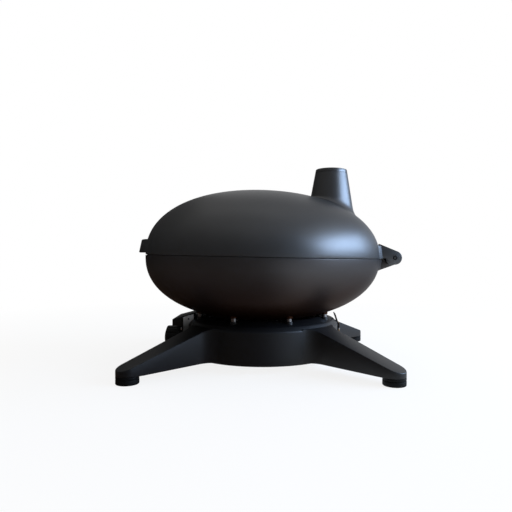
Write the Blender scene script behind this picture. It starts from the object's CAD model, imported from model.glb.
"""Countertop gas pizza oven, dressed over its packed frame.

One operator models each piece or group of like pieces, and one more sets the stage.
Lengths are in metres, in the frame of the packed part: Z is up and the hinge is towards +Y.
"""

import math

import bpy
import numpy as np
from mathutils import Matrix, Vector


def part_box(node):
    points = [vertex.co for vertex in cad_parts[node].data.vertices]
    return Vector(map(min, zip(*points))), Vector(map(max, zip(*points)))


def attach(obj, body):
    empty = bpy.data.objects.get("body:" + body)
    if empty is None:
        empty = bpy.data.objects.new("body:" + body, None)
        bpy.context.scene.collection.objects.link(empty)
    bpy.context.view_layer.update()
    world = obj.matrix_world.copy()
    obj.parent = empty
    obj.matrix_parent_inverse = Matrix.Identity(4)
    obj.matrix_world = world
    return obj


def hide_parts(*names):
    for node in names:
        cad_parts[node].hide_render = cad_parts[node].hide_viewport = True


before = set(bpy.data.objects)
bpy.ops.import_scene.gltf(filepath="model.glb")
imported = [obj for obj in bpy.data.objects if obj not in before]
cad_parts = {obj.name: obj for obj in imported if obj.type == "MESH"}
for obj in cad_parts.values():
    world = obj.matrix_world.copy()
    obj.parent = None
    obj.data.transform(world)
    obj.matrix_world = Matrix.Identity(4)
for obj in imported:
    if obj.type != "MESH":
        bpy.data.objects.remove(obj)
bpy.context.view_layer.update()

bl_info = {
    "name": "Gas Pizza Oven",
    "version": (1, 0, 0),
    "blender": (4, 5, 0),
    "location": "View3D > Sidebar > Pizza Oven",
    "description": "Models the castings, knob, feet and stone of a countertop gas pizza oven",
    "category": "Add Mesh",
}


def real(label, text, value, **settings):
    return bpy.props.FloatProperty(name=label, description=text, default=value, **settings)


def length(label, text, value):
    return real(label, text, value, precision=5, subtype="DISTANCE", unit="LENGTH")


def angle(label, text, degrees):
    return real(label, text, math.radians(degrees), subtype="ANGLE", unit="ROTATION")


def share(label, text, value):
    return real(label, text, value, min=0.0, max=1.0, subtype="FACTOR")


def number(label, text, value):
    return real(label, text, value, precision=4)


def count(label, text, value):
    return bpy.props.IntProperty(name=label, description=text, default=value, min=1)


def colour(label, text, rgb):
    return bpy.props.FloatVectorProperty(
        name=label, description=text, default=(*rgb, 1.0), size=4, min=0.0, max=1.0, subtype="COLOR")


class OvenBody(bpy.types.PropertyGroup):
    """Sizes of the lid and the bowl"""

    axis_y: length("Axis", "Place of the body's axis along Y", -0.01035)
    rim_z: length("Rim height", "Height of the rim's middle above the floor", 0.18832)
    rim_tilt: angle("Rim tilt", "Slope of the rim, higher at the front", 1.1)
    radius: length("Radius", "Outer radius of the lid and the bowl at the rim", 0.2125)
    lid_height: length("Lid height", "Height of the lid's crown above the rim", 0.120)
    bowl_depth: length("Bowl depth", "Depth of the bowl below the rim", 0.1145)
    power: number("Side power", "Exponent of the side profile, where 2 gives an ellipse", 2.2)
    wall: length("Wall", "Wall of the lid and the bowl", 0.004)
    rim_width: length("Rim width", "Width of the flat rims", 0.010)
    rim_depth: length("Rim depth", "Depth of the thickened rims", 0.006)
    rim_gap: length("Rim gap", "Gap between the two rims", 0.0012)
    rim_edge: length("Rim edge", "Rounding of the rims' edges", 0.0009)
    air_radius: length("Air opening", "Radius of the air opening in the bowl's floor", 0.034)
    seat_radius: length("Burner seat", "Radius of the flat seat for the burner's plate", 0.056)


class OvenChimney(bpy.types.PropertyGroup):
    """Sizes of the chimney and the lip handle"""

    offset: length("Chimney offset", "Distance of the chimney's axis behind the body's axis", 0.1245)
    height: length("Chimney height", "Height of the chimney's mouth above the rim", 0.1635)
    radius: length("Mouth radius", "Outer radius of the chimney's mouth", 0.0285)
    taper: angle("Taper", "Taper of the chimney's side", 9.75)
    wall: length("Chimney wall", "Wall of the chimney", 0.004)
    ring_height: length("Ring height", "Height of the ring at the chimney's mouth", 0.007)
    front_fillet: length("Front fillet", "Fillet between chimney and lid at the front", 0.004)
    rear_fillet: length("Rear fillet", "Fillet between chimney and lid at the rear", 0.042)
    lip_reach: length("Lip reach", "Reach of the lip handle beyond the rim", 0.014)
    lip_radius: length("Lip radius", "Radius of the lip's front edge, seen from above", 0.150)
    lip_rise: length("Lip rise", "Height of the lip's lower edge above the rim", 0.0034)
    lip_height: length("Lip height", "Height of the lip handle", 0.0235)
    lip_setback: length("Lip setback", "Setback of the lip's upper edge", 0.0045)
    lip_edge: length("Lip edge", "Rounding of the lip's edges", 0.0022)


class OvenHinge(bpy.types.PropertyGroup):
    """Sizes of the hinge's arms and lugs"""

    pin_back: length("Pin distance", "Distance of the hinge pins behind the rim", 0.0225)
    pin_rise: length("Pin rise", "Height of the hinge pins above the rim", 0.0027)
    nose: length("Nose radius", "Radius of the rounded noses round the pins", 0.0122)
    arm_outer: length("Arm place", "Distance from the middle to the lid arms' outer faces", 0.043)
    lug_outer: length("Lug place", "Distance from the middle to the bowl lugs' outer faces", 0.033)
    width: length("Ear width", "Width of each arm and each lug", 0.009)
    arm_slope: angle("Arm slope", "Slope of the arms' top edge", 21.4)
    lug_slope: angle("Lug slope", "Slope of the lugs' lower edge", 21.0)
    heel: length("Heel radius", "Radius of the heel under each arm", 0.009)
    heel_ahead: length("Heel ahead", "Distance of the heel's middle in front of the pin", 0.0068)
    heel_below: length("Heel below", "Distance of the heel's middle below the pin", 0.0042)
    edge: length("Ear edge", "Rounding of the arms' and lugs' edges", 0.0009)
    lug_ahead: length("Lug ahead", "Distance of the lugs' raised tops in front of the pin", 0.0163)
    pad_half: angle("Pad half", "Half of the angle that the hinge pads span round the rim", 17.0)
    pad_ramp: angle("Pad ramp", "Angle over which the pads run out at their ends", 3.6)
    lid_pad_height: length("Lid pad height", "Height of the lid's hinge pad above the rim", 0.0238)
    bowl_pad_height: length("Bowl pad height", "Depth of the bowl's hinge pad below the rim", 0.0180)
    lid_pad: length("Lid pad", "Thickness of the hinge pad on the lid", 0.0055)
    bowl_pad: length("Bowl pad", "Thickness of the hinge pad on the bowl", 0.0031)


class OvenBase(bpy.types.PropertyGroup):
    """Sizes of the base casting, its legs and its feet"""

    drum_radius: length("Drum radius", "Outer radius of the drum", 0.1375)
    drum_low: length("Drum low edge", "Height of the drum's lower edge", 0.014)
    drum_top: length("Drum top edge", "Height of the drum's upper edge", 0.0685)
    wall: length("Base wall", "Wall of the base casting", 0.0045)
    shoulder_in: length("Shoulder", "Setback of the collar's shoulder from the drum's side", 0.007)
    shoulder_rise: length("Shoulder rise", "Rise from the drum's edge to the shoulder", 0.0068)
    crest_in: length("Crest", "Setback of the collar's crest from the drum's side", 0.0265)
    crest_rise: length("Crest rise", "Rise from the drum's edge to the crest", 0.014)
    crest_width: length("Crest width", "Width of the collar's flat crest", 0.005)
    boss_radius: length("Boss radius", "Radius of the bosses under the standoffs", 0.006)
    boss_ring: length("Boss ring", "Radius of the ring of bosses", 0.1185)
    boss_count: count("Bosses", "Number of bosses", 8)
    leg_turn: angle("Leg angle", "Angle of the legs from the X axis", 47)
    leg_reach: length("Leg reach", "Distance of each foot from the body's axis", 0.2705)
    leg_width: length("Leg width", "Width of a leg at the drum", 0.0475)
    leg_tip: length("Leg tip", "Radius of a leg's rounded tip", 0.0175)
    leg_root_top: length("Leg root", "Height of a leg's top at the drum", 0.071)
    leg_root_low: length("Leg root low", "Height of a leg's lower edge at the drum", 0.0155)
    leg_tip_top: length("Leg tip top", "Height of a leg's top at its foot", 0.0265)
    leg_fillet: length("Leg fillet", "Fillet between a leg and the drum", 0.028)
    leg_edge: length("Leg edge", "Rounding of the legs' edges", 0.0024)
    foot_height: length("Foot height", "Height of the rubber feet", 0.012)
    groove: length("Foot groove", "Depth of the groove round each foot", 0.001)
    groove_z: length("Groove height", "Height of the groove above the floor", 0.0075)
    foot_hole: length("Foot hole", "Radius of the screw's hole under each foot", 0.00605)


class OvenControls(bpy.types.PropertyGroup):
    """Sizes of the control housing, the knob and the stone"""

    housing_width: length("Housing width", "Width of the control housing", 0.076)
    housing_wall: length("Housing wall", "Wall of the control housing", 0.006)
    panel_out: length("Panel place", "Distance of the panel in front of the body's axis", 0.1425)
    hood_reach: length("Hood reach", "Reach of the hood in front of the panel", 0.019)
    hood_z: length("Hood height", "Height of the hood's underside", 0.0645)
    hood_front: length("Hood edge", "Height of the hood's front edge", 0.0118)
    housing_in: length("Housing depth", "Distance that the housing runs back from the panel", 0.020)
    housing_gap: length("Housing gap", "Gap between the housing and the bowl", 0.0042)
    cheek: length("Cheek", "Distance that the housing's side plates stand proud", 0.0007)
    cheek_low: length("Cheek foot", "Height of the side plates' lower edge", 0.030)
    cheek_hole: length("Cheek hole", "Radius of the screw's hole in each side plate", 0.0017)
    seat_width: length("Rear seat", "Width of the flat seat for the inlet's bracket", 0.040)
    knob_z: length("Knob height", "Height of the knob's axis", 0.0385)
    knob_back: length("Knob place", "Distance of the knob's back in front of the body's axis", 0.1485)
    knob_radius: length("Knob radius", "Radius of the knob", 0.022)
    knob_length: length("Knob length", "Length of the knob", 0.034)
    knob_dome: length("Knob dome", "Bulge of the knob's face", 0.005)
    flutes: count("Flutes", "Number of finger flutes round the knob", 12)
    flute_depth: length("Flute depth", "Depth of the finger flutes", 0.0013)
    stone_edge: length("Stone edge", "Rounding of the stone's edges", 0.002)


class OvenColours(bpy.types.PropertyGroup):
    """Colours of the finishes"""

    lid_coat: colour("Lid coat", "Charcoal coat of the lid", (0.090, 0.090, 0.091))
    bowl_coat: colour("Bowl coat", "Charcoal coat of the bowl near its rim", (0.074, 0.069, 0.068))
    bowl_low: colour("Bowl underside", "Warmer, darker coat low on the bowl", (0.034, 0.013, 0.006))
    base_coat: colour("Base coat", "Black coat of the base casting", (0.0035, 0.0035, 0.004))
    black_coat: colour("Black coat", "Black coat of the panel and the bracket", (0.0035, 0.0035, 0.004))
    rubber: colour("Rubber", "Rubber of the feet", (0.003, 0.003, 0.003))
    knob: colour("Knob", "Plastic of the knob", (0.004, 0.004, 0.004))
    mark: colour("Knob mark", "White mark on the knob", (0.75, 0.75, 0.72))
    steel: colour("Steel", "Stainless steel of the small parts", (0.42, 0.42, 0.44))
    dark_steel: colour("Dark steel", "Oiled steel of the standoffs and the screws", (0.24, 0.24, 0.25))
    tint: colour("Heat tint", "Straw tint of steel near the flames", (0.42, 0.31, 0.20))
    brass: colour("Brass", "Brass of the gas fittings", (0.66, 0.43, 0.20))
    copper: colour("Copper", "Copper of the gas pipe", (0.62, 0.31, 0.18))
    stone: colour("Stone", "Fired cordierite of the stone", (0.62, 0.50, 0.36))
    scorch: colour("Scorch", "Brown scorch marks on the stone", (0.36, 0.25, 0.16))
    ceramic: colour("Ceramic", "Glazed ceramic of the spark electrode", (0.78, 0.77, 0.73))
    seal: colour("Seal", "Woven seal on the rim", (0.022, 0.0215, 0.021))
    cheek: colour("Cheek", "Grey coat of the housing's side plates", (0.42, 0.42, 0.42))


class OvenStage(bpy.types.PropertyGroup):
    """The camera, the lamps and the floor"""

    distance: length("Camera distance", "Distance of the camera from the body's axis", 0.8955)
    swing: angle("Camera swing", "Swing of the camera towards the hinge", 1.2)
    height: length("Camera height", "Height of the camera above the floor", 0.1915)
    lens: number("Lens", "Focal length in millimetres, on a 36 mm sensor", 33.75)
    shift_x: number("Shift X", "Sideways shift of the frame", -0.01309)
    shift_y: number("Shift Y", "Upward shift of the frame", -0.00195)
    window: number("Window", "Power of the window at the right, in watts", 44.0)
    ceiling: number("Ceiling", "Power of the soft light overhead, in watts", 6.0)
    ambient: share("Ambient", "Strength of the surrounding light on matt surfaces", 0.5)
    flag: share("Flag foot", "Brightness of the dark flags at their foot, as the coats reflect them", 0.04)
    flag_top: share("Flag top", "Brightness of the dark flags at their top", 0.30)
    overhead: share("Grey card", "Brightness of the grey card overhead that the coats reflect", 0.4)
    table_dark: colour("Table card", "Dark end of the card on the floor, as the coats reflect it",
                       (0.115, 0.080, 0.064))
    table_bright: colour("Table light", "Bright end of the card, towards the window", (0.90, 0.95, 1.0))
    back_dark: share("Back card", "Brightness of the low card behind the oven at its left end", 0.10)
    back_bright: share("Back light", "Brightness of the low card at its right end", 0.35)
    back_height: length("Back height", "Height of the low card behind the oven", 0.45)
    flag_radius: length("Flag radius", "Distance of the dark flags from the middle", 2.2)
    flag_height: length("Flag height", "Height of the dark flags", 2.4)
    floor: colour("Floor", "Pale floor", (0.86, 0.86, 0.86))
    near_white: share("Near white", "Share of plain white in the floor beside the oven", 0.84)
    near_radius: length("Near floor", "Radius past which the floor turns to the backdrop's white", 0.20)
    white_radius: length("White", "Radius past which the floor is as white as the backdrop", 1.2)


def sizes():
    scene = bpy.context.scene
    return scene.oven_body, scene.oven_chimney, scene.oven_hinge, scene.oven_base, scene.oven_controls


# Shaping

MERGE = 1e-6
MIRROR_X = Matrix.Diagonal((-1.0, 1.0, 1.0, 1.0))


def clear_selection():
    active = bpy.context.view_layer.objects.active
    if active and active.mode != "OBJECT":
        bpy.ops.object.mode_set(mode="OBJECT")
    bpy.ops.object.select_all(action="DESELECT")


def choose(piece):
    clear_selection()
    piece.select_set(True)
    bpy.context.view_layer.objects.active = piece


def edit(piece):
    choose(piece)
    bpy.ops.object.mode_set(mode="EDIT")
    bpy.ops.mesh.select_all(action="SELECT")


def leave():
    bpy.ops.object.mode_set(mode="OBJECT")


def started(name):
    piece = bpy.context.active_object
    piece.name = name
    piece.data.name = name
    return piece


def discard(piece):
    mesh = piece.data
    bpy.data.objects.remove(piece)
    bpy.data.meshes.remove(mesh)


def outline_piece(name, points):
    """Adds a circle and moves its points onto an outline."""
    clear_selection()
    bpy.ops.mesh.primitive_circle_add(vertices=len(points), radius=1.0)
    piece = started(name)
    for vertex, point in zip(piece.data.vertices, points):
        vertex.co = point
    return piece


def tidy_mesh(piece):
    """Merges doubled points, drops loose ones and turns the faces outwards."""
    edit(piece)
    bpy.ops.mesh.remove_doubles(threshold=MERGE)
    bpy.ops.mesh.delete_loose(use_verts=True, use_edges=True, use_faces=False)
    bpy.ops.mesh.select_all(action="SELECT")
    bpy.ops.mesh.normals_make_consistent(inside=False)
    leave()
    return piece


def spun(name, profile, steps):
    """Turns a closed profile of radius and height round Z."""
    piece = outline_piece(name, [(r, 0.0, z) for r, z in profile])
    edit(piece)
    bpy.ops.mesh.spin(steps=steps, angle=math.tau, center=(0, 0, 0), axis=(0, 0, 1))
    leave()
    return tidy_mesh(piece)


def disc(name, radius, low, high, low_edge=0.0, high_edge=0.0, arc_steps=3, steps=32):
    """A round block between two heights, with the roundings that its edges are given."""
    outline = [(0, low), (radius, low), (radius, high), (0, high)]
    return spun(name, rounded(outline, [0, low_edge, high_edge, 0], arc_steps), steps)


def extruded(name, points, along):
    """Fills an outline and extrudes it."""
    piece = outline_piece(name, points)
    edit(piece)
    bpy.ops.mesh.edge_face_add()
    bpy.ops.mesh.extrude_region_move(TRANSFORM_OT_translate={"value": along})
    leave()
    return tidy_mesh(piece)


def slab(name, outline, low, high):
    """An outline of Y and Z, extruded from one X to another."""
    return extruded(name, [(low, y, z) for y, z in outline], (high - low, 0, 0))


def column(name, outline, low, high):
    """An outline of X and Y, extruded from one height to another."""
    return extruded(name, [(x, y, low) for x, y in outline], (0, 0, high - low))


def sleeve(name, around, along, place):
    """Adds a grid and rolls it up: place(turn, step) gives each point, both from 0 to 1."""
    clear_selection()
    bpy.ops.mesh.primitive_grid_add(x_subdivisions=around, y_subdivisions=along, size=1.0)
    piece = started(name)
    for vertex in piece.data.vertices:
        vertex.co = place(vertex.co.x + 0.5, vertex.co.y + 0.5)
    return tidy_mesh(piece)


def block(name, low, high):
    """Adds a cube between two corners."""
    low, high = Vector(low), Vector(high)
    clear_selection()
    bpy.ops.mesh.primitive_cube_add(size=1.0)
    piece = started(name)
    piece.data.transform(Matrix.Translation((low + high) / 2) @ Matrix.Diagonal((*(high - low), 1.0)))
    return piece


def rounded(points, radii, steps):
    """Rounds the corners of a closed outline, each by its own radius."""
    made = []
    for i, (point, radius) in enumerate(zip(points, radii)):
        here = np.array(point, float)
        if radius <= 0:
            made.append(tuple(here))
            continue
        before = np.array(points[i - 1], float) - here
        after = np.array(points[(i + 1) % len(points)], float) - here
        before /= np.linalg.norm(before)
        after /= np.linalg.norm(after)
        half = math.acos(max(-1.0, min(1.0, float(before @ after)))) / 2
        back = radius / math.tan(half)
        middle = (before + after) / np.linalg.norm(before + after) * radius / math.sin(half)
        start, stop = here + before * back, here + after * back
        first, last = start - here - middle, stop - here - middle
        turn = math.atan2(first[0] * last[1] - first[1] * last[0], float(first @ last))
        for k in range(steps + 1):
            c, s = math.cos(turn * k / steps), math.sin(turn * k / steps)
            made.append((here[0] + middle[0] + first[0] * c - first[1] * s,
                         here[1] + middle[1] + first[0] * s + first[1] * c))
    return made


def arc(centre, radius, start, stop, steps):
    turns = [start + (stop - start) * k / steps for k in range(steps + 1)]
    return [(centre[0] + radius * math.cos(turn), centre[1] + radius * math.sin(turn)) for turn in turns]


def cut_plane(piece, place, normal, keep_above, fill="face"):
    """Cuts a piece with a plane and closes the cut: a single face, or a ring between two edges."""
    edit(piece)
    bpy.ops.mesh.bisect(plane_co=place, plane_no=normal, use_fill=fill == "face",
                        clear_inner=keep_above, clear_outer=not keep_above)
    if fill == "ring":
        bpy.ops.mesh.bridge_edge_loops()
    leave()
    tidy_mesh(piece)


def apply_modifier(piece, kind, **settings):
    choose(piece)
    modifier = piece.modifiers.new(kind.title(), kind)
    for key, value in settings.items():
        setattr(modifier, key, value)
    bpy.ops.object.modifier_apply(modifier=modifier.name)


def soften(piece, width, segments=3, least=40):
    """Rounds the edges that turn by more than a least angle in degrees."""
    apply_modifier(piece, "BEVEL", width=width, segments=segments, limit_method="ANGLE",
                   angle_limit=math.radians(least), use_clamp_overlap=True)
    edit(piece)
    bpy.ops.mesh.quads_convert_to_tris(quad_method="BEAUTY", ngon_method="BEAUTY")
    bpy.ops.mesh.dissolve_degenerate(threshold=MERGE)
    leave()


def carve(piece, cutter):
    apply_modifier(piece, "BOOLEAN", operation="DIFFERENCE", solver="EXACT", object=cutter)
    discard(cutter)


def moved(piece, matrix):
    piece.data.transform(matrix)
    if matrix.determinant() < 0:
        edit(piece)
        bpy.ops.mesh.flip_normals()
        leave()
    return piece


def copied(piece, matrix, name):
    twin = bpy.data.objects.new(name, piece.data.copy())
    bpy.context.scene.collection.objects.link(twin)
    return moved(twin, matrix)


def copies(piece, spots):
    """Copies of a pattern at several places. The pattern itself goes."""
    made = [copied(piece, spot, f"{piece.name}_{k}") for k, spot in enumerate(spots)]
    discard(piece)
    return made


def merged(name, pieces):
    choose(pieces[0])
    for piece in pieces[1:]:
        piece.select_set(True)
    bpy.ops.object.join()
    return started(name)


def mirrored_x(piece, name):
    return merged(name, [piece, copied(piece, MIRROR_X, name + "_twin")])


def dress(piece, finish):
    piece.data.materials.clear()
    piece.data.materials.append(finish)


def settle(piece, body, slot, finish, *nodes, degrees=35):
    """Shades a finished piece, gives it its finish and its body, and hides the solids that it stands for."""
    choose(piece)
    bpy.ops.object.shade_smooth_by_angle(angle=math.radians(degrees))
    dress(piece, finish)
    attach(piece, body)
    if nodes:
        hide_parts(*nodes)


# Places


def on_axis():
    return Matrix.Translation((0, bpy.context.scene.oven_body.axis_y, 0))


def at_rim():
    body = bpy.context.scene.oven_body
    return Matrix.Translation((0, body.axis_y, body.rim_z))


def tilt():
    return Matrix.Rotation(-bpy.context.scene.oven_body.rim_tilt, 4, "X")


def on_rim():
    return at_rim() @ tilt()


def ring_spots(turns, radius):
    return [Matrix.Rotation(turn, 4, "Z") @ Matrix.Translation((radius, 0, 0)) for turn in turns]


def leg_spots(base, radius):
    turn = base.leg_turn
    return ring_spots((turn, math.pi - turn, math.pi + turn, -turn), radius)


def boss_spots(base):
    turns = [math.tau * (k + 0.5) / base.boss_count for k in range(base.boss_count)]
    return ring_spots(turns, base.boss_ring)


# Forms of the lid and the bowl

RIM_SKIRT = math.radians(12)  # part of a dome's side that runs past the rim, before the rim is cut
SURFACE_TOP = 1.2  # height below which the lid's surface is looked for, as a share of the lid's height
SURFACE_HALVINGS = 44
FLUE_ROUNDS = 12
FLUE_CUT_LOW = 0.04  # height above the rim at which the flue's cutter starts
FILLET_POWER = 1.6  # how the chimney's fillet grows from front to rear
FILLET_NEAR = 0.02  # nearest and farthest distance from the chimney's axis at which the lid is looked at
FILLET_FAR = 0.14
FILLET_STEPS = 241
FILLET_HALVINGS = 40
EAR_ROOT = 0.6  # share of the rim's width that the hinge's ears reach into it
EAR_CLEAR = 0.0009  # distance of the ears from the edge of their rim
LUG_TURN = math.pi * 0.86  # angle round the pin at which the lugs' raised tops start
BAR_SUNK = 0.0016  # depth of the lip and the pads in the wall that they hug
LIP_HALF = math.radians(44.5)  # half of the angle that the lip spans
LIP_LEAST = 0.0006  # thickness of the lip at its ends
LIP_EDGE = 0.3  # largest rounding of the lip's edges, as a share of its thickness
LIP_LOW_EDGE = 0.7  # rounding of the lip's lower edge, as a share of the upper one
PAD_LEAST = 0.0002  # how far the hinge pads stand out at their ends
PAD_EDGE = 0.4  # largest rounding of the pads' edges, as a share of how far they stand out
PAD_LOW_EDGE = 0.5  # rounding of the pads' edge at the rim, as a share of the far one
PAD_ROUNDING = 0.0012  # rounding of the pads' far edges
PAD_CLEAR = 0.0002  # distance of the bowl's pad from the edge of its rim
SEAT_LEVEL_AT = 0.052  # radius at which the bowl's inside gives the level of the burner's seat
SEAT_RISE = 0.001
BOWL_BOSS = 0.009  # height of the bowl's bosses
BOSS_EDGE = 0.0006  # rounding of all bosses
COAT_MARGIN = 0.02  # distance from the bowl's foot and rim at which its colour starts to change


def dome_side(radius, height, power, start, stop, steps=56):
    """Points of a dome's side, as radius and height, between two angles."""
    points = []
    for k in range(steps + 1):
        t = start + (stop - start) * k / steps
        reach = max(math.cos(t), 0.0) ** (2 / power)
        rise = abs(math.sin(t)) ** (2 / power)
        points.append((radius * reach, math.copysign(height * rise, t)))
    return points


def angle_at_height(height, z, power):
    return math.asin((z / height) ** (power / 2))


def angle_at_radius(radius, r, power):
    return math.acos((r / radius) ** (power / 2))


def on_dome(value, extent, other, power):
    """The second coordinate on a dome's side, from the first one and from the extents of both."""
    return other * (1 - (value / extent) ** power) ** (1 / power)


def shell_profile(height, outer_stop, inner_start, floor):
    """Section of a dome: its outside, the points of its floor, its inside and its thickened rim."""
    body = bpy.context.scene.oven_body
    step = body.rim_gap / 2 + body.rim_depth
    inner = (body.radius - body.wall, height - body.wall)
    outside = dome_side(body.radius, height, body.power, -RIM_SKIRT, outer_stop)
    inside = dome_side(*inner, body.power, inner_start, angle_at_height(inner[1], step, body.power))
    rim = body.radius - body.rim_width
    return outside + floor + inside + [(rim, step), (rim, outside[0][1])]


def lid_surface(x, y):
    """Height of the lid's outer surface over the rim, in the rim's frame."""
    body = bpy.context.scene.oven_body
    c, s = math.cos(body.rim_tilt), math.sin(body.rim_tilt)
    low = np.zeros_like(x)
    high = np.full_like(x, SURFACE_TOP * body.lid_height)
    for _ in range(SURFACE_HALVINGS):
        z = (low + high) / 2
        v, w = y * c - z * s, y * s + z * c
        across = (np.hypot(x, v) / body.radius) ** body.power
        inside = across + np.maximum(w / body.lid_height, 0) ** body.power < 1
        low = np.where(inside, z, low)
        high = np.where(inside, high, z)
    return (low + high) / 2


def chimney_radius(z):
    chimney = bpy.context.scene.oven_chimney
    return chimney.radius + (chimney.height - z) * math.tan(chimney.taper)


def flue_radius(z):
    return chimney_radius(z) - bpy.context.scene.oven_chimney.wall


def flue_end(turn):
    """Height at which the flue meets the middle of the lid's wall, at one bearing."""
    body, chimney, _, _, _ = sizes()
    z = body.lid_height
    for _ in range(FLUE_ROUNDS):
        r = flue_radius(z)
        spot = np.array([r * math.cos(turn)]), np.array([chimney.offset + r * math.sin(turn)])
        z = float(lid_surface(*spot)[0]) - body.wall / 2
    return z


def fillet_at(turn):
    """The chimney's fillet at one bearing: its middle, its size and its angles at the cone and at the lid."""
    chimney = bpy.context.scene.oven_chimney
    rear = (1 + math.sin(turn)) / 2
    size = chimney.front_fillet + (chimney.rear_fillet - chimney.front_fillet) * rear ** FILLET_POWER
    reach = np.linspace(FILLET_NEAR, FILLET_FAR, FILLET_STEPS)
    surface = lid_surface(reach * math.cos(turn), chimney.offset + reach * math.sin(turn))
    out = np.array([math.cos(chimney.taper), math.sin(chimney.taper)])

    def tried(z):
        middle = np.array([chimney_radius(z), z]) + size * out
        return middle, np.hypot(reach - middle[0], surface - middle[1])

    low, high = FILLET_NEAR, chimney.height
    for _ in range(FILLET_HALVINGS):
        z = (low + high) / 2
        middle, away = tried(z)
        above = np.interp(middle[0], reach, surface) < middle[1]
        if above and away.min() > size:
            high = z
        else:
            low = z
    middle, away = tried((low + high) / 2)
    nearest = int(np.argmin(away))
    touch = np.array([reach[nearest], surface[nearest]])
    return middle, size, math.atan2(*(-out)[::-1]), math.atan2(*(touch - middle)[::-1])


def ear_start():
    """The pin's place, the ears' root inside the rim, and their clearance from the rim's middle plane."""
    body, _, hinge, _, _ = sizes()
    pin = (body.radius + hinge.pin_back, hinge.pin_rise)
    return pin, body.radius - body.rim_width * EAR_ROOT, body.rim_gap / 2 + EAR_CLEAR


def hinge_arm_outline():
    hinge = bpy.context.scene.oven_hinge
    pin, root, clear = ear_start()
    top = (pin[0] + hinge.nose * math.sin(hinge.arm_slope), pin[1] + hinge.nose * math.cos(hinge.arm_slope))
    heel = (pin[0] - hinge.heel_ahead, pin[1] - hinge.heel_below)
    return ([(root, clear), (root, top[1] + (top[0] - root) * math.tan(hinge.arm_slope))]
            + arc(pin, hinge.nose, math.pi / 2 - hinge.arm_slope, -math.pi / 2, 20)
            + arc(heel, hinge.heel, -math.pi / 2, -math.pi, 10)
            + [(heel[0] - hinge.heel, clear)])


def hinge_lug_outline():
    hinge = bpy.context.scene.oven_hinge
    pin, root, clear = ear_start()
    low = (pin[0] + hinge.nose * math.sin(hinge.lug_slope), pin[1] - hinge.nose * math.cos(hinge.lug_slope))
    return ([(root, low[1] - (low[0] - root) * math.tan(hinge.lug_slope))]
            + arc(pin, hinge.nose, hinge.lug_slope - math.pi / 2, math.pi / 2, 20)
            + arc(pin, hinge.lug_ahead, LUG_TURN, math.pi, 4)
            + [(pin[0] - hinge.lug_ahead, -clear), (root, -clear)])


def ears(name, outline, outer):
    """A pair of hinge ears, in the rim's frame."""
    hinge = bpy.context.scene.oven_hinge
    ear = slab(name, outline, outer - hinge.width, outer)
    soften(ear, hinge.edge, segments=2)
    return mirrored_x(ear, name)


def lid_dome():
    body, chimney, _, _, _ = sizes()
    crown = math.pi / 2
    dome = spun("lid_dome", shell_profile(body.lid_height, crown, crown, []), steps=160)
    moved(dome, tilt())
    cut_plane(dome, (0, 0, body.rim_gap / 2), (0, 0, 1), keep_above=True, fill="ring")
    soften(dome, body.rim_edge)
    low, high = FLUE_CUT_LOW, chimney.height
    outline = [(0, low), (flue_radius(low), low), (flue_radius(high), high), (0, high)]
    cutter = spun("flue_cutter", outline, steps=96)
    carve(dome, moved(cutter, Matrix.Translation((0, chimney.offset, 0))))
    return dome


def chimney_stack():
    """The chimney with its fillet, as one sleeve that ends just inside the lid's wall."""
    chimney = bpy.context.scene.oven_chimney
    around, arc_steps, cone_steps, flue_steps = 120, 14, 12, 6
    mouth = chimney.height - chimney.ring_height
    past, sunk = 0.18, 0.0025
    rings = []
    for k in range(around):
        turn = math.tau * k / around
        middle, size, start, stop = fillet_at(turn)
        beyond = stop + (past if stop < start else -past)
        points = [(middle[0] + size * math.cos(beyond), middle[1] + size * math.sin(beyond) - sunk)]
        points += arc(middle, size, stop, start, arc_steps)
        foot = points[-1][1]
        cone = [foot + (mouth - foot) * j / cone_steps for j in range(1, cone_steps + 1)]
        points += [(chimney_radius(z), z) for z in cone]
        points += [(flue_radius(z), z) for z in np.linspace(mouth, flue_end(turn), flue_steps).tolist()]
        points.append(points[0])
        rings.append([(r * math.cos(turn), chimney.offset + r * math.sin(turn), z) for r, z in points])
    along = len(rings[0]) - 1
    return sleeve("chimney_stack", around, along,
                  lambda u, v: rings[round(u * around) % around][round(v * along)])


def swept_bar(name, centre, middle, half, section):
    """A closed bar swept round a point on the Y axis: section(bearing) gives its radii and heights."""
    around, sections = 72, []
    for k in range(around + 1):
        bearing = middle + half * (2 * k / around - 1)
        c, s = math.cos(bearing), math.sin(bearing)
        sections.append([(r * c, centre + r * s, z) for r, z in section(bearing)])
    along = len(sections[0])
    bar = sleeve(name, around, along, lambda u, v: sections[round(u * around)][round(v * along) % along])
    edit(bar)
    bpy.ops.mesh.select_all(action="DESELECT")
    bpy.ops.mesh.select_non_manifold()
    bpy.ops.mesh.fill_holes(sides=0)
    leave()
    return tidy_mesh(bar)


def bar_section(backs, fronts, heights, edge, low_share):
    """Section of a bar: its back and its front, each at two heights, with rounded edges at the front."""
    return rounded([(backs[0], heights[0]), (fronts[0], heights[0]),
                    (fronts[1], heights[1]), (backs[1], heights[1])], [0, edge * low_share, edge, 0], steps=4)


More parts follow.
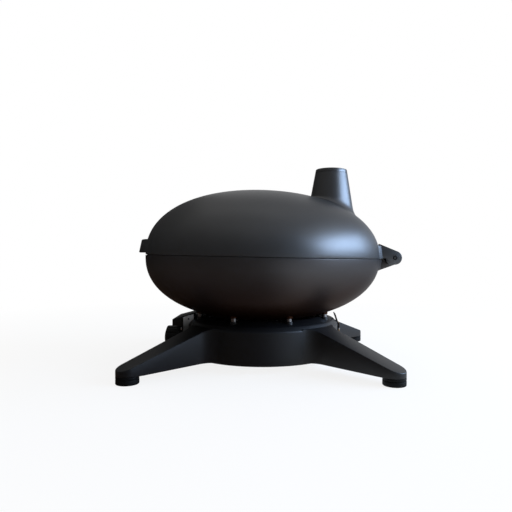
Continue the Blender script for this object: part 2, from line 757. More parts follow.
def lip_handle():
    """The lip at the lid's front: a bar with rounded edges that runs out into the lid at both ends."""
    body, chimney, _, _, _ = sizes()
    centre = chimney.lip_radius - body.radius - chimney.lip_reach
    heights = (chimney.lip_rise, chimney.lip_rise + chimney.lip_height)
    edges = (chimney.lip_radius, chimney.lip_radius - chimney.lip_setback)
    walls = [on_dome(z, body.lid_height, body.radius, body.power) - BAR_SUNK for z in heights]

    def section(bearing):
        along = centre * math.sin(bearing)
        backs = [-along + math.sqrt(max(along * along - centre * centre + wall * wall, 0)) for wall in walls]
        fronts = [max(out, back + LIP_LEAST) for out, back in zip(edges, backs)]
        thin = min(out - back for out, back in zip(fronts, backs))
        return bar_section(backs, fronts, heights, min(chimney.lip_edge, thin * LIP_EDGE), LIP_LOW_EDGE)

    return swept_bar("lip_handle", centre, -math.pi / 2, LIP_HALF, section)


def rim_drop():
    """How much lower the tilted rim is at the hinge than at its middle."""
    body = bpy.context.scene.oven_body
    return body.radius * math.sin(body.rim_tilt)


def hinge_pad(name, thick, depth, near, far, sign):
    """A pad on a dome of some depth, behind the hinge's ears, between two distances from the rim."""
    body, _, hinge, _, _ = sizes()
    levels = [rim_drop() + edge for edge in (near, far)]
    heights = [sign * level for level in levels]
    walls = [on_dome(level, depth, body.radius, body.power) for level in levels]
    backs = [wall - BAR_SUNK for wall in walls]

    def section(bearing):
        left = (hinge.pad_half - abs(bearing - math.pi / 2)) / hinge.pad_ramp
        proud = thick * min(max(left, 0.0), 1.0) + PAD_LEAST
        fronts = [wall + proud for wall in walls]
        return bar_section(backs, fronts, heights, min(PAD_ROUNDING, proud * PAD_EDGE), PAD_LOW_EDGE)

    return swept_bar(name, 0.0, math.pi / 2, hinge.pad_half, section)


# Finishes

WHITE = (1.0, 1.0, 1.0, 1.0)


def grey(value):
    return (value, value, value, 1.0)


def tone(rgb, factor):
    return (*[min(c * factor, 1.0) for c in rgb[:3]], 1.0)


def set_inputs(node, constants):
    for name, value in constants.items():
        node.inputs[name].default_value = value


def add_node(tree, kind, constants, links, operation=None):
    """Adds a node, sets its constants and links sockets to its inputs."""
    node = tree.nodes.new(kind)
    if operation:
        node.operation = operation
    set_inputs(node, constants)
    for name, socket in links.items():
        tree.links.new(socket, node.inputs[name])
    return node


def object_place(tree):
    return tree.nodes.new("ShaderNodeTexCoord").outputs["Object"]


def new_finish(name):
    finish = bpy.data.materials.new(name)
    finish.use_nodes = True
    tree = finish.node_tree
    tree.nodes.clear()
    shader = tree.nodes.new("ShaderNodeBsdfPrincipled")
    add_node(tree, "ShaderNodeOutputMaterial", {}, {"Surface": shader.outputs["BSDF"]})
    return finish, tree, shader, object_place(tree)


def stretched(tree, place, scale):
    return add_node(tree, "ShaderNodeMapping", {"Scale": scale}, {"Vector": place}).outputs["Vector"]


def noise(tree, place, scale, detail=2.0, rough=0.5):
    constants = {"Scale": scale, "Detail": detail, "Roughness": rough}
    return add_node(tree, "ShaderNodeTexNoise", constants, {"Vector": place}).outputs["Fac"]


def math_node(tree, operation, first, second):
    return add_node(tree, "ShaderNodeMath", {}, {0: first, 1: second}, operation).outputs[0]


def spread(tree, value, low, high, start=0.0, stop=1.0):
    """Carries a value from one range over to another."""
    constants = {"From Min": start, "From Max": stop, "To Min": low, "To Max": high}
    return add_node(tree, "ShaderNodeMapRange", constants, {"Value": value}).outputs["Result"]


def blend_colours(tree, factor, first, second):
    node = tree.nodes.new("ShaderNodeMix")
    node.data_type = "RGBA"
    tree.links.new(factor, node.inputs["Factor"])
    for socket, value in zip([s for s in node.inputs if s.type == "RGBA"], (first, second)):
        if isinstance(value, bpy.types.NodeSocket):
            tree.links.new(value, socket)
        else:
            socket.default_value = value
    return next(s for s in node.outputs if s.type == "RGBA")


def wire(tree, shader, body, rough, bumps):
    """Links a colour, a roughness and bumps: each is a height, its depth in metres and its strength."""
    links = {"Base Color": body, "Roughness": rough}
    for height, depth, strength in bumps:
        before = {"Normal": links["Normal"]} if "Normal" in links else {}
        bump = add_node(tree, "ShaderNodeBump", {"Distance": depth, "Strength": strength},
                        {"Height": height, **before})
        links["Normal"] = bump.outputs["Normal"]
    for name, socket in links.items():
        tree.links.new(socket, shader.inputs[name])


def coat_finish(name, rgb, metallic, rough, level, tint=WHITE, low=None, low_z=None):
    """Satin coat over a casting: fine grain, faint clouding, and a second colour towards its foot."""
    finish, tree, shader, place = new_finish(name)
    clouds = noise(tree, place, 11.0, detail=3.0)
    body = blend_colours(tree, clouds, tone(rgb, 0.86), tone(rgb, 1.14))
    if low:
        split = add_node(tree, "ShaderNodeSeparateXYZ", {}, {"Vector": place})
        rise = spread(tree, split.outputs["Z"], 1.0, 0.0, *low_z)
        body = blend_colours(tree, rise, body, low)
    grain = noise(tree, place, 1500.0, rough=0.6)
    speckle = noise(tree, place, 420.0)
    waves = noise(tree, place, 60.0, detail=1.0)
    set_inputs(shader, {"Metallic": metallic, "Specular IOR Level": level, "Specular Tint": tint})
    wire(tree, shader, body, spread(tree, speckle, rough - 0.05, rough + 0.05),
         [(grain, 0.00012, 0.16), (waves, 0.0003, 0.04)])
    return finish


def metal_finish(name, rgb, rough, along=(1.0, 1.0, 12.0), tint=None):
    """Bare metal with drawn or brushed lines, faint stains and, near the flames, a heat tint."""
    finish, tree, shader, place = new_finish(name)
    lines = noise(tree, stretched(tree, place, along), 340.0, detail=3.0)
    stains = noise(tree, place, 26.0, detail=3.0)
    body = blend_colours(tree, stains, tone(rgb, 0.85), tone(rgb, 1.08))
    if tint:
        patches = spread(tree, noise(tree, place, 15.0), 0.0, 1.0, 0.42, 0.62)
        body = blend_colours(tree, patches, body, tint)
    set_inputs(shader, {"Metallic": 1.0})
    wire(tree, shader, body, spread(tree, lines, rough - 0.08, rough + 0.10), [(lines, 0.00008, 0.18)])
    return finish


def moulded_finish(name, rgb, rough, grain, level=0.5):
    """Moulded rubber or plastic with a fine spark texture."""
    finish, tree, shader, place = new_finish(name)
    set_inputs(shader, {"Specular IOR Level": level})
    body = blend_colours(tree, noise(tree, place, 40.0), tone(rgb, 0.8), tone(rgb, 1.25))
    texture = noise(tree, place, grain, rough=0.7)
    wire(tree, shader, body, spread(tree, texture, rough - 0.06, rough + 0.08), [(texture, 0.0001, 0.25)])
    return finish


def stone_finish(name, rgb, scorch):
    """Fired stone: sandy grains, dark specks, pores and faint scorch marks."""
    finish, tree, shader, place = new_finish(name)
    sand = noise(tree, place, 260.0, detail=4.0, rough=0.7)
    body = blend_colours(tree, sand, tone(rgb, 0.78), tone(rgb, 1.18))
    marks = noise(tree, place, 17.0, detail=4.0, rough=0.6)
    marks = spread(tree, marks, 0.0, 0.75, 0.55, 0.78)
    body = blend_colours(tree, marks, body, scorch)
    cells = add_node(tree, "ShaderNodeTexVoronoi", {"Scale": 330.0}, {"Vector": place}).outputs["Distance"]
    body = blend_colours(tree, spread(tree, cells, 0.8, 0.0, 0.08, 0.2), body, tone(scorch, 0.45))
    set_inputs(shader, {"Specular IOR Level": 0.3})
    wire(tree, shader, body, spread(tree, sand, 0.72, 0.95), [(sand, 0.0003, 0.35), (cells, 0.0004, 0.15)])
    return finish


def woven_finish(name, rgb):
    """Braided glass-fibre seal: fine crossing strands."""
    finish, tree, shader, place = new_finish(name)
    strands = []
    for direction, slant in (("X", (1.0, 1.0, 1.0)), ("Y", (1.0, -1.0, 1.0))):
        wave = add_node(tree, "ShaderNodeTexWave", {"Scale": 160.0, "Distortion": 1.5},
                        {"Vector": stretched(tree, place, slant)})
        wave.bands_direction = direction
        strands.append(wave.outputs["Fac"])
    cross = math_node(tree, "MULTIPLY", *strands)
    body = blend_colours(tree, cross, tone(rgb, 0.5), tone(rgb, 1.7))
    wire(tree, shader, body, spread(tree, cross, 0.75, 0.95), [(cross, 0.0004, 0.5)])
    return finish


# Operators of the lid and the bowl


class OVEN_OT_lid(bpy.types.Operator):
    """Models the cast lid with its chimney, lip handle and hinge arms"""

    bl_idname = "oven.lid"
    bl_label = "Cast Lid"

    def execute(self, context):
        body, _, hinge, _, _ = sizes()
        dome, stack, lip = lid_dome(), chimney_stack(), lip_handle()
        pad = hinge_pad("lid_pad", hinge.lid_pad, body.lid_height, body.rim_gap / 2, hinge.lid_pad_height, 1)
        moved(pad, Matrix.Translation((0, 0, -rim_drop())))
        arms = ears("hinge_arms", hinge_arm_outline(), hinge.arm_outer)
        lid = moved(merged("lid_casting", [dome, stack, lip, pad, arms]), on_rim())
        coat = coat_finish("lid_coat", context.scene.oven_colours.lid_coat, metallic=0.85, rough=0.40,
                           level=0.3, tint=grey(0.5))
        settle(lid, "lid", "shell_coat", coat, "lid_shell")
        return {"FINISHED"}


class OVEN_OT_chimney_ring(bpy.types.Operator):
    """Models the ring at the chimney's mouth, with its spigot and the groove under it"""

    bl_idname = "oven.chimney_ring"
    bl_label = "Chimney Ring"

    def execute(self, context):
        chimney = context.scene.oven_chimney
        mouth, top = chimney.height - chimney.ring_height, chimney.height
        groove, spigot, thin, clear = 0.0007, 0.005, 0.0016, 0.00005
        bore = [flue_radius(z) - clear for z in (mouth - spigot, mouth, top)]
        waist = chimney_radius(mouth) - groove
        outline = rounded(
            [(bore[0] - thin, mouth - spigot), (bore[0], mouth - spigot), (bore[1], mouth),
             (waist, mouth), (waist, mouth + groove), (chimney_radius(mouth + groove), mouth + groove),
             (chimney.radius, top), (bore[2] - thin, top)],
            [0.0003, 0.0003, 0, 0, 0, 0.0003, 0.0011, 0.0009], steps=4)
        ring = spun("chimney_mouth_ring", outline, steps=96)
        moved(ring, Matrix.Translation((0, chimney.offset, 0)))
        moved(ring, on_rim())
        coat = coat_finish("ring_coat", context.scene.oven_colours.lid_coat, metallic=0.85, rough=0.36,
                           level=0.3, tint=grey(0.5))
        settle(ring, "lid", "shell_coat", coat, "chimney_ring")
        return {"FINISHED"}


def bowl_dome():
    """The bowl's shell with the flat seat round its air opening, cut along the tilted rim."""
    body = bpy.context.scene.oven_body
    radius, depth = body.radius - body.wall, body.bowl_depth - body.wall
    level = on_dome(SEAT_LEVEL_AT, radius, depth, body.power) - SEAT_RISE
    profile = shell_profile(
        body.bowl_depth, angle_at_radius(body.radius, body.air_radius, body.power),
        angle_at_radius(radius, body.seat_radius, body.power),
        [(body.air_radius, level), (body.seat_radius, level)])
    shell = spun("bowl_dome", [(r, -z) for r, z in profile], steps=160)
    moved(shell, at_rim())
    normal = on_rim().to_3x3() @ Vector((0, 0, 1))
    place = at_rim().translation - normal * body.rim_gap / 2
    cut_plane(shell, place, normal, keep_above=False, fill="ring")
    soften(shell, body.rim_edge)
    return shell


class OVEN_OT_bowl(bpy.types.Operator):
    """Models the cast bowl with its rim, burner seat, bosses and hinge lugs"""

    bl_idname = "oven.bowl"
    bl_label = "Cast Bowl"

    def execute(self, context):
        body, _, hinge, base, _ = sizes()
        colours = context.scene.oven_colours
        shell = bowl_dome()
        lugs = moved(ears("hinge_lugs", hinge_lug_outline(), hinge.lug_outer), on_rim())
        pad = hinge_pad("bowl_pad", hinge.bowl_pad, body.bowl_depth, body.rim_gap / 2 + PAD_CLEAR,
                        hinge.bowl_pad_height, -1)
        moved(pad, at_rim())
        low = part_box("bowl_standoffs")[1].z
        boss = disc("bowl_boss", base.boss_radius, low, low + BOWL_BOSS, low_edge=BOSS_EDGE)
        bosses = copies(boss, [on_axis() @ spot for spot in boss_spots(base)])
        bowl = merged("bowl_casting", [shell, lugs, pad] + bosses)
        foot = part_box("bowl_shell")[0].z + COAT_MARGIN
        coat = coat_finish("bowl_coat", colours.bowl_coat, metallic=0.85, rough=0.42, level=0.25,
                           tint=grey(0.42), low=tuple(colours.bowl_low),
                           low_z=(foot, body.rim_z - COAT_MARGIN))
        settle(bowl, "base", "shell_coat", coat, "bowl_shell")
        return {"FINISHED"}


# Forms and operators of the base

LEG_COLUMN = 0.12  # height of the columns that the legs are cut from
HOLLOW_LOW = -0.01  # height at which the cutters of the legs' hollows start
LEG_ROOT = 0.6  # share of the drum's wall that the legs reach into it
BASE_BOSS = 0.0115  # height of the base's bosses
HOUSING_EDGE = 0.0016
SEAT_EDGE = 0.0008
ROOM_AHEAD = 0.002  # how far the cutter of the housing's room runs out in front of the panel
ROOM_LOW = -0.01
ROOM_BACK = -0.02  # where that cutter ends inside the drum, along Y
CHEEK_MARGIN = 0.0009  # distance of the side plates from the housing's edges
CHEEK_SUNK = 0.0006  # depth of the side plates in the housing
CHEEK_ROUND = 0.5  # rounding of the side plates' edges, as a share of how far they stand proud
CHEEK_HOLE_BACK = 0.0105  # place of the screw's hole, from the plate's front and from its top
CHEEK_HOLE_DOWN = 0.0045
CHEEK_HOLE_HALF = 0.01  # half of the length of the hole's cutter
CHEEK_FADE = 0.018  # distance below the plates' top at which they are darkest
CHEEK_FOOT_TONE = 0.14
FOOT_BORE = 0.00305  # radius of the screw's bore in a foot
FOOT_SINK = 0.005  # depth of the hole for the screw's head
KNOB_DRAFT = 0.001  # how much narrower the knob's face is than its skirt
KNOB_SKIRT = 0.0045  # height of the skirt
FLUTE_START = 0.002  # length over which the flutes run in above the skirt
FLUTE_POWER = 3  # how narrow the flutes are
FACE_POWER = 6  # how fast the flutes run out over the face


def leg_plan(base):
    """Outline of one leg along X, seen from above, with the fillets that run into the drum."""
    run = base.leg_reach - base.drum_radius
    narrowing = base.leg_tip - base.leg_width / 2
    side = np.array([run, narrowing]) / math.hypot(run, narrowing)
    out = np.array([-side[1], side[0]])
    away = float(out @ np.array([base.drum_radius, base.leg_width / 2])) + base.leg_fillet
    reach = base.drum_radius + base.leg_fillet
    middle = away * out + math.sqrt(reach ** 2 - away ** 2) * side
    first = math.atan2(-middle[1], -middle[0])
    last = math.atan2(-out[1], -out[0])
    if last < first:
        last += math.tau
    flank = arc(middle, base.leg_fillet, first, last, 12)
    tip = arc((base.leg_reach, 0.0), base.leg_tip, math.atan2(out[1], out[0]), 0.0, 14)
    upper = flank + tip
    turn = math.atan2(flank[0][1], flank[0][0])
    root = arc((0.0, 0.0), base.drum_radius - base.wall * LEG_ROOT, -turn, turn, 8)
    return root + upper + [(x, -y) for x, y in reversed(upper[:-1])]


def leg_hollow(base, fall):
    """The recess under a leg, which leaves a wall at its top, its sides and its foot."""
    start, stop = base.drum_radius, base.leg_reach - base.leg_tip
    narrowing = (base.leg_tip - base.leg_width / 2) / (base.leg_reach - base.drum_radius)
    wide = base.leg_width / 2 - base.wall
    narrow = wide + narrowing * (stop - start)
    outline = [(start, -wide), (stop, -narrow), (stop, narrow), (start, wide)]
    hollow = column("leg_hollow", outline, HOLLOW_LOW, LEG_COLUMN)
    cut_plane(hollow, (start, 0, base.leg_root_top - base.wall), (-fall, 0, 1), keep_above=False)
    return hollow


def leg_form(base):
    """One leg along X, hollow underneath."""
    run = base.leg_reach - base.drum_radius
    fall = (base.leg_tip_top - base.leg_root_top) / run
    slide = (base.foot_height - base.leg_root_low) / (run - base.leg_tip)
    leg = column("leg", leg_plan(base), 0.0, LEG_COLUMN)
    start = (base.drum_radius, 0, base.leg_root_top)
    cut_plane(leg, start, (-fall, 0, 1), keep_above=False)
    cut_plane(leg, start, (0, 0, 1), keep_above=False)
    cut_plane(leg, (base.drum_radius, 0, base.leg_root_low), (-slide, 0, 1), keep_above=True)
    cut_plane(leg, (0, 0, base.foot_height), (0, 0, 1), keep_above=True)
    soften(leg, base.leg_edge, segments=4, least=30)
    carve(leg, leg_hollow(base, fall))
    return leg


def drum_form(base):
    """Drum and collar of the base, turned about the body's axis."""
    low, top = base.drum_low, base.drum_top
    radius, wall = base.drum_radius, base.wall
    shoulder = (radius - base.shoulder_in, top + base.shoulder_rise)
    crest = (radius - base.crest_in, top + base.crest_rise)
    inside = crest[0] - base.crest_width
    outline = rounded(
        [(radius, low), (radius, top), shoulder, crest, (inside, crest[1]), (inside, crest[1] - wall),
         (crest[0], crest[1] - wall), (shoulder[0] - wall / 2, shoulder[1] - wall),
         (radius - wall, top - wall), (radius - wall, low)],
        [0.0016, 0.0045, 0.007, 0.003, 0.0012, 0.0008, 0, 0.002, 0.002, 0.001], steps=6)
    return spun("drum", outline, steps=160)


def housing_roof(controls):
    """Rear and front ends of the control housing's roof: distance in front of the axis, and height."""
    body = bpy.context.scene.oven_body
    inside = controls.panel_out - controls.housing_in
    rise = body.rim_z - on_dome(inside, body.radius, body.bowl_depth, body.power) - controls.housing_gap
    return inside, rise, controls.panel_out + controls.hood_reach, controls.hood_z + controls.hood_front


def housing_form(base, controls):
    """The control housing with the hood that runs out over the knob."""
    half, ahead = controls.housing_width / 2, controls.panel_out
    inside, rise, hood, front = housing_roof(controls)
    outline = rounded(
        [(-inside, base.drum_low), (-ahead, base.drum_low), (-ahead, controls.hood_z),
         (-hood, controls.hood_z), (-hood, front), (-inside, rise)],
        [0, 0.001, 0.001, 0.0008, 0.0014, 0], steps=4)
    housing = slab("control_housing", outline, -half, half)
    soften(housing, HOUSING_EDGE, least=50)
    return housing


class OVEN_OT_base(bpy.types.Operator):
    """Models the base casting: drum, collar, legs, control housing, bosses and the rear seat"""

    bl_idname = "oven.base"
    bl_label = "Base Casting"

    def execute(self, context):
        _, _, _, base, controls = sizes()
        housing, drum = housing_form(base, controls), drum_form(base)
        room = controls.housing_width / 2 - controls.housing_wall
        for piece in (housing, drum):
            carve(piece, block("housing_room", (-room, -controls.panel_out - ROOM_AHEAD, ROOM_LOW),
                               (room, ROOM_BACK, base.drum_top - base.wall)))
        half, back = controls.seat_width / 2, base.drum_radius
        seat = block("rear_seat", (-half, back - 3 * base.wall, base.drum_low), (half, back, base.drum_top))
        soften(seat, SEAT_EDGE, segments=2)
        pieces = [drum, housing, seat] + copies(leg_form(base), leg_spots(base, 0.0))
        top = base.drum_top + base.crest_rise
        boss = disc("base_boss", base.boss_radius, top - BASE_BOSS, top, high_edge=BOSS_EDGE)
        casting = moved(merged("base_body", pieces + copies(boss, boss_spots(base))), on_axis())
        coat = coat_finish("base_coat", context.scene.oven_colours.base_coat, metallic=0.0, rough=0.48,
                           level=0.34)
        settle(casting, "base", "base_coat", coat, "base_casting")
        return {"FINISHED"}


class OVEN_OT_cheeks(bpy.types.Operator):
    """Models the grey plates on the control housing's sides"""

    bl_idname = "oven.cheeks"
    bl_label = "Housing Cheeks"

    def execute(self, context):
        controls, colours = context.scene.oven_controls, context.scene.oven_colours
        half, ahead = controls.housing_width / 2, controls.panel_out
        inside, rear, hood, front = housing_roof(controls)
        front += (rear - front) * (hood - ahead) / (hood - inside)
        edge = CHEEK_MARGIN - ahead
        outline = rounded(
            [(-inside, controls.cheek_low), (edge, controls.cheek_low), (edge, front - CHEEK_MARGIN),
             (-inside, rear - CHEEK_MARGIN)], [0, 0.002, 0.002, 0.001], steps=4)
        cheek = slab("cheek", outline, half - CHEEK_SUNK, half + controls.cheek)
        soften(cheek, controls.cheek * CHEEK_ROUND, segments=2)
        hole = disc("cheek_hole", controls.cheek_hole, -CHEEK_HOLE_HALF, CHEEK_HOLE_HALF, steps=24)
        spot = Matrix.Translation((half, -ahead + CHEEK_HOLE_BACK, front - CHEEK_HOLE_DOWN))
        carve(cheek, moved(hole, spot @ Matrix.Rotation(math.pi / 2, 4, "Y")))
        cheeks = moved(mirrored_x(cheek, "housing_cheeks"), on_axis())
        coat = coat_finish("cheek_coat", colours.cheek, metallic=0.2, rough=0.45, level=0.4,
                           low=tone(colours.cheek, CHEEK_FOOT_TONE), low_z=(front - CHEEK_FADE, rear))
        settle(cheeks, "base", "steel", coat)
        return {"FINISHED"}


class OVEN_OT_feet(bpy.types.Operator):
    """Models the grooved rubber feet under the legs"""

    bl_idname = "oven.feet"
    bl_label = "Rubber Feet"

    def execute(self, context):
        base = context.scene.oven_base
        r, g, z, top = base.leg_tip, base.groove, base.groove_z, base.foot_height
        outline = rounded(
            [(base.foot_hole, 0), (r, 0), (r, z), (r - g, z), (r - g, z + g), (r, z + g), (r, top),
             (FOOT_BORE, top), (FOOT_BORE, FOOT_SINK), (base.foot_hole, FOOT_SINK)],
            [0.0006, 0.0014, 0.0006, 0, 0, 0.0006, 0.0003, 0, 0, 0], steps=4)
        foot = spun("foot", outline, steps=64)
        feet = copies(foot, [on_axis() @ spot for spot in leg_spots(base, base.leg_reach)])
        rubber = moulded_finish("foot_rubber", context.scene.oven_colours.rubber, 0.6, 900.0, level=0.12)
        settle(merged("feet", feet), "base", "rubber", rubber, "rubber_feet")
        return {"FINISHED"}


def knob_profile(controls, face):
    """Half section of the knob: its back, skirt, barrel and domed face, as radius and length."""
    radius, span, dome_rise = controls.knob_radius, controls.knob_length, controls.knob_dome
    steps, arc_steps = 10, 4
    dome = [(face * k / steps, span - dome_rise * (k / steps) ** 2) for k in range(steps - 1, -1, -1)]
    edge = rounded([(0, 0), (radius, 0), (radius, KNOB_SKIRT), (face, span - dome_rise), dome[0]],
                   [0, 0.0008, 0.0012, 0.0016, 0], arc_steps)[:-1]
    crown = edge[-arc_steps - 1:]
    barrel = edge[:-arc_steps - 1]
    (skirt_r, skirt_z), (crown_r, crown_z) = barrel[-1], crown[0]
    barrel += [(skirt_r + (crown_r - skirt_r) * k / steps, skirt_z + (crown_z - skirt_z) * k / steps)
               for k in range(1, steps)]
    return barrel + crown + dome


class OVEN_OT_knob(bpy.types.Operator):
    """Models the fluted knob with its domed face"""

    bl_idname = "oven.knob"
    bl_label = "Gas Knob"

    def execute(self, context):
        body, _, _, _, controls = sizes()
        face = controls.knob_radius - KNOB_DRAFT
        profile = knob_profile(controls, face)
        around, along = 144, len(profile) - 1

        def place(u, v):
            r, z = profile[round(v * along)]
            turn = math.tau * (round(u * around) % around) / around
            groove = max(0.0, math.cos(turn * controls.flutes)) ** FLUTE_POWER
            depth = controls.flute_depth * groove * min(max((z - KNOB_SKIRT) / FLUTE_START, 0.0), 1.0)
            r = max(r - depth * min(r / face, 1.0) ** FACE_POWER, 0.0)
            return (r * math.cos(turn), -z, r * math.sin(turn))

        knob = sleeve("gas_knob", around, along, place)
        moved(knob, Matrix.Translation((0, body.axis_y - controls.knob_back, controls.knob_z)))
        plastic = moulded_finish("knob_plastic", context.scene.oven_colours.knob, 0.42, 1200.0, level=0.15)
        settle(knob, "knob", "knob_black", plastic, "knob", degrees=40)
        return {"FINISHED"}


# Operators of the stone and the fittings


class OVEN_OT_stone(bpy.types.Operator):
    """Models the round baking stone with its softened edges"""

    bl_idname = "oven.stone"
    bl_label = "Pizza Stone"

    def execute(self, context):
        edge, colours = context.scene.oven_controls.stone_edge, context.scene.oven_colours
        low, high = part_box("pizza_stone")
        radius = (high.x - low.x) / 2
        stone = disc("baking_stone", radius, low.z, high.z, edge, edge, arc_steps=5, steps=128)
        moved(stone, on_axis())
        cordierite = stone_finish("cordierite", colours.stone, tuple(colours.scorch))
        settle(stone, "base", "stone", cordierite, "pizza_stone")
        return {"FINISHED"}


class OVEN_OT_fittings(bpy.types.Operator):
    """Gives the fittings that keep their packed solids their finishes"""

    bl_idname = "oven.fittings"
    bl_label = "Fittings"

    def execute(self, context):
        colours = context.scene.oven_colours
        steel = metal_finish("bright_steel", colours.steel, 0.28)
        dark_steel = metal_finish("oiled_steel", colours.dark_steel, 0.34)
        hot_steel = metal_finish("hot_steel", colours.steel, 0.36, tint=tuple(colours.tint))
        brass = metal_finish("turned_brass", colours.brass, 0.26, along=(1.0, 12.0, 1.0))
        copper = metal_finish("drawn_copper", colours.copper, 0.3, along=(12.0, 1.0, 12.0))
        black = coat_finish("black_coat", colours.black_coat, metallic=0.0, rough=0.42, level=0.15)
        finishes = {
            steel: ("foot_screws", "panel_screws", "valve_stem", "bracket_screws"),
            dark_steel: ("bowl_standoffs", "bowl_screws", "hinge_washers"),
            hot_steel: ("mixer_tube", "burner_plate", "burner_screws", "burner_ring", "stone_carrier"),
            brass: ("valve_plunger", "valve_body", "gas_jet", "gas_inlet", "inlet_nut"),
            copper: ("supply_pipe",),
            black: ("control_panel", "inlet_bracket", "hinge_pins"),
            moulded_finish("knob_mark", colours.mark, 0.45, 1200.0): ("knob_pointer",),
            moulded_finish("glazed_ceramic", colours.ceramic, 0.22, 700.0): ("igniter_electrode",),
            woven_finish("woven_seal", colours.seal): ("rim_seal",),
        }
        for finish, nodes in finishes.items():
            for node in nodes:
                dress(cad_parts[node], finish)
        return {"FINISHED"}


# The stage

FLOOR_SIZE = 24.0
FLOOR_DROP = 0.0002  # distance of the floor below the feet
FLOOR_ROUGH = 0.9
SHADED_IN = 0.001  # gap between the shaded floor and the drum's wall
SHADED_RISE = 0.0002  # height of the shaded floor above the drum's lower edge
SENSOR_WIDTH = 36.0
NEAR_CLIP = 0.01
WINDOW_PLACE = (0.20, 1.43, 0.68)
WINDOW_SIZE = (1.5, 0.55)
WINDOW_COLOUR = (0.48, 0.68, 1.0)
CEILING_PLACE = (-0.9, 0.1, 1.8)
CEILING_AIM = (-0.3, 0, 0)
CEILING_SIZE = (2.2, 2.2)
CEILING_COLOUR = (1.0, 0.99, 0.97)
UPRIGHT = (0, 0, 1)
FLAG_BEARINGS = (-165, 48)  # bearings of the cards' two ends, in degrees
BACK_BEARINGS = (75, 195)
TABLE_BEARINGS = (-150, 80)
FLAG_FADE_FROM = 0.3  # height at which the flags start to brighten
BACK_ALONG = (0, 1, 0)  # direction in which a card's paint changes, and from where to where
BACK_FADE = (-0.5, 1.5)
TABLE_ALONG = (-0.2, 1, 0)
TABLE_FADE = (-0.03, 0.10)
TABLE_INNER = 0.145  # inner radius and height of the card on the floor
TABLE_RISE = 0.0004
OVERHEAD_X = 0.9  # place of the overhead card's corner, as shares of the flags' distance
OVERHEAD_Y = 1.2


def lamp(name, place, aim, size, watts, rgb):
    data = bpy.data.lights.new(name, "AREA")
    data.shape = "RECTANGLE"
    data.size, data.size_y = size
    data.energy = watts
    data.color = rgb
    light = bpy.data.objects.new(name, data)
    light.location = place
    light.rotation_euler = (Vector(aim) - Vector(place)).to_track_quat("-Z", "Y").to_euler()
    bpy.context.scene.collection.objects.link(light)


def seen_directly(tree):
    """1 for rays from the camera, a reflection or a glass, which see the plain background."""
    path = tree.nodes.new("ShaderNodeLightPath")
    total = path.outputs["Is Camera Ray"]
    for kind in ("Is Glossy Ray", "Is Transmission Ray"):
        total = math_node(tree, "MAXIMUM", total, path.outputs[kind])
    return total


def new_paint(name):
    """A material of the stage, with its plain shader."""
    paint = bpy.data.materials.new(name)
    paint.use_nodes = True
    return paint, paint.node_tree, paint.node_tree.nodes["Principled BSDF"]


def card_paint(name, along, start, stop, first, last):
    """Paint of a card, which changes from one colour to another along a direction."""
    paint, tree, shader = new_paint(name)
    tree.nodes.remove(shader)
    step = add_node(tree, "ShaderNodeVectorMath", {1: along}, {0: object_place(tree)}, "DOT_PRODUCT")
    change = spread(tree, step.outputs["Value"], 0.0, 1.0, start, stop)
    glow = add_node(tree, "ShaderNodeEmission", {}, {"Color": blend_colours(tree, change, first, last)})
    tree.links.new(glow.outputs["Emission"], tree.nodes["Material Output"].inputs["Surface"])
    return paint


def bent_card(name, bearings, along, foot, head):
    """A card round the oven between two bearings: foot and head are the radius and height of its edges."""
    def place(u, v):
        turn = math.radians(bearings[0] + (bearings[1] - bearings[0]) * u)
        reach = foot[0] + (head[0] - foot[0]) * v
        return (reach * math.cos(turn), reach * math.sin(turn), foot[1] + (head[1] - foot[1]) * v)

    return sleeve(name, 48, along, place)


def stage_cards(stage):
    """Dark flags, a low card behind, a card on the floor and one overhead, which only reflections see."""
    reach, top = stage.flag_radius, stage.flag_height
    flags = bent_card("dark_flags", FLAG_BEARINGS, 6, (reach, 0), (reach, top))
    back = bent_card("back_card", BACK_BEARINGS, 6, (reach, 0), (reach, stage.back_height))
    table = bent_card("table_card", TABLE_BEARINGS, 12, (TABLE_INNER, TABLE_RISE), (reach, TABLE_RISE))
    overhead = sleeve("grey_card", 6, 6, lambda u, v: (
        reach * (2 * u - OVERHEAD_X), reach * (2 * v - OVERHEAD_Y), top))
    back_ends = grey(stage.back_dark), grey(stage.back_bright)
    table_ends = tuple(stage.table_dark), tuple(stage.table_bright)
    paints = {
        flags: card_paint("flag_paint", UPRIGHT, FLAG_FADE_FROM, top, grey(stage.flag), grey(stage.flag_top)),
        back: card_paint("back_paint", BACK_ALONG, *BACK_FADE, *back_ends),
        table: card_paint("table_paint", TABLE_ALONG, *TABLE_FADE, *table_ends),
        overhead: card_paint("grey_paint", UPRIGHT, 0.0, top, grey(stage.overhead), grey(stage.overhead)),
    }
    for card, paint in paints.items():
        dress(card, paint)
        card.visible_camera = False
        card.visible_diffuse = False
        card.visible_shadow = False


def stage_floor(stage):
    """The pale floor, which turns to the backdrop's white away from the oven."""
    clear_selection()
    bpy.ops.mesh.primitive_plane_add(size=FLOOR_SIZE)
    floor = moved(started("studio_floor"), Matrix.Translation((0, 0, -FLOOR_DROP)))
    paint, tree, shader = new_paint("floor_paint")
    set_inputs(shader, {"Base Color": stage.floor, "Roughness": FLOOR_ROUGH, "Specular IOR Level": 0.0})
    white = add_node(tree, "ShaderNodeEmission", {"Color": WHITE}, {})
    away = add_node(tree, "ShaderNodeVectorMath", {}, {0: object_place(tree)}, "LENGTH").outputs["Value"]
    glow = spread(tree, away, stage.near_white, 1.0, stage.near_radius, stage.white_radius)
    part = math_node(tree, "MULTIPLY", glow, seen_directly(tree))
    mix = add_node(tree, "ShaderNodeMixShader", {},
                   {"Fac": part, 1: shader.outputs["BSDF"], 2: white.outputs["Emission"]})
    tree.links.new(mix.outputs["Shader"], tree.nodes["Material Output"].inputs["Surface"])
    dress(floor, paint)


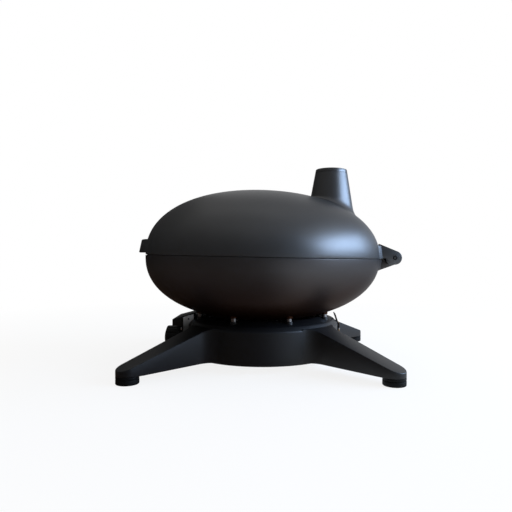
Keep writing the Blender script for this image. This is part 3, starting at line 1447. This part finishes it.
def shaded_floor(stage, base):
    """A disc of plain floor inside the drum, where only light through the gaps falls."""
    clear_selection()
    radius = base.drum_radius - base.wall - SHADED_IN
    bpy.ops.mesh.primitive_circle_add(vertices=96, radius=radius, fill_type="NGON")
    shaded = started("shaded_floor")
    moved(shaded, on_axis() @ Matrix.Translation((0, 0, base.drum_low + SHADED_RISE)))
    paint, _, shader = new_paint("shaded_paint")
    set_inputs(shader, {"Base Color": stage.floor})
    dress(shaded, paint)


def stage_world(stage):
    """Even light all round, weaker on matt surfaces than in the camera and in reflections."""
    world = bpy.data.worlds.new("studio")
    world.use_nodes = True
    bpy.context.scene.world = world
    tree = world.node_tree
    sky = tree.nodes["Background"]
    set_inputs(sky, {"Color": WHITE})
    tree.links.new(spread(tree, seen_directly(tree), stage.ambient, 1.0), sky.inputs["Strength"])


def stage_camera(stage, axis_y):
    data = bpy.data.cameras.new("photo_camera")
    data.lens = stage.lens
    data.sensor_width = SENSOR_WIDTH
    data.shift_x = stage.shift_x
    data.shift_y = stage.shift_y
    data.clip_start = NEAR_CLIP
    camera = bpy.data.objects.new("photo_camera", data)
    camera.location = (stage.distance * math.cos(stage.swing),
                       axis_y + stage.distance * math.sin(stage.swing), stage.height)
    camera.rotation_euler = (math.pi / 2, 0, math.pi / 2 + stage.swing)
    bpy.context.scene.collection.objects.link(camera)
    return camera


class OVEN_OT_stage(bpy.types.Operator):
    """Sets the pale floor, the soft lamps and the camera"""

    bl_idname = "oven.stage"
    bl_label = "Stage"

    def execute(self, context):
        scene = context.scene
        stage, body = scene.oven_stage, scene.oven_body
        stage_floor(stage)
        shaded_floor(stage, scene.oven_base)
        stage_world(stage)
        lamp("window", WINDOW_PLACE, (0, 0, body.rim_z), WINDOW_SIZE, stage.window, WINDOW_COLOUR)
        lamp("ceiling", CEILING_PLACE, CEILING_AIM, CEILING_SIZE, stage.ceiling, CEILING_COLOUR)
        stage_cards(stage)
        scene.camera = stage_camera(stage, body.axis_y)
        scene.view_settings.view_transform = "Standard"
        return {"FINISHED"}


# The add-on


class OVEN_PT_panel(bpy.types.Panel):
    """Lists the oven's sizes, colours and pieces"""

    bl_idname = "OVEN_PT_panel"
    bl_label = "Gas Pizza Oven"
    bl_space_type = "VIEW_3D"
    bl_region_type = "UI"
    bl_category = "Pizza Oven"

    def draw(self, context):
        layout = self.layout
        for piece in OPERATORS:
            layout.operator(piece.bl_idname)
        for group, place in GROUPS.items():
            box = layout.box()
            box.label(text=group.__doc__)
            for name in group.__annotations__:
                box.prop(getattr(context.scene, place), name)


GROUPS = {OvenBody: "oven_body", OvenChimney: "oven_chimney", OvenHinge: "oven_hinge", OvenBase: "oven_base",
          OvenControls: "oven_controls", OvenColours: "oven_colours", OvenStage: "oven_stage"}
OPERATORS = (OVEN_OT_lid, OVEN_OT_chimney_ring, OVEN_OT_bowl, OVEN_OT_base, OVEN_OT_cheeks, OVEN_OT_feet,
             OVEN_OT_knob, OVEN_OT_stone, OVEN_OT_fittings, OVEN_OT_stage)


def register():
    for group, place in GROUPS.items():
        bpy.utils.register_class(group)
        setattr(bpy.types.Scene, place, bpy.props.PointerProperty(type=group))
    for piece in OPERATORS:
        bpy.utils.register_class(piece)
    bpy.utils.register_class(OVEN_PT_panel)


def unregister():
    bpy.utils.unregister_class(OVEN_PT_panel)
    for piece in reversed(OPERATORS):
        bpy.utils.unregister_class(piece)
    for group, place in GROUPS.items():
        delattr(bpy.types.Scene, place)
        bpy.utils.unregister_class(group)


def main():
    register()
    bpy.ops.oven.lid()
    bpy.ops.oven.chimney_ring()
    bpy.ops.oven.bowl()
    bpy.ops.oven.base()
    bpy.ops.oven.cheeks()
    bpy.ops.oven.feet()
    bpy.ops.oven.knob()
    bpy.ops.oven.stone()
    bpy.ops.oven.fittings()
    bpy.ops.oven.stage()


if __name__ == "__main__":
    main()
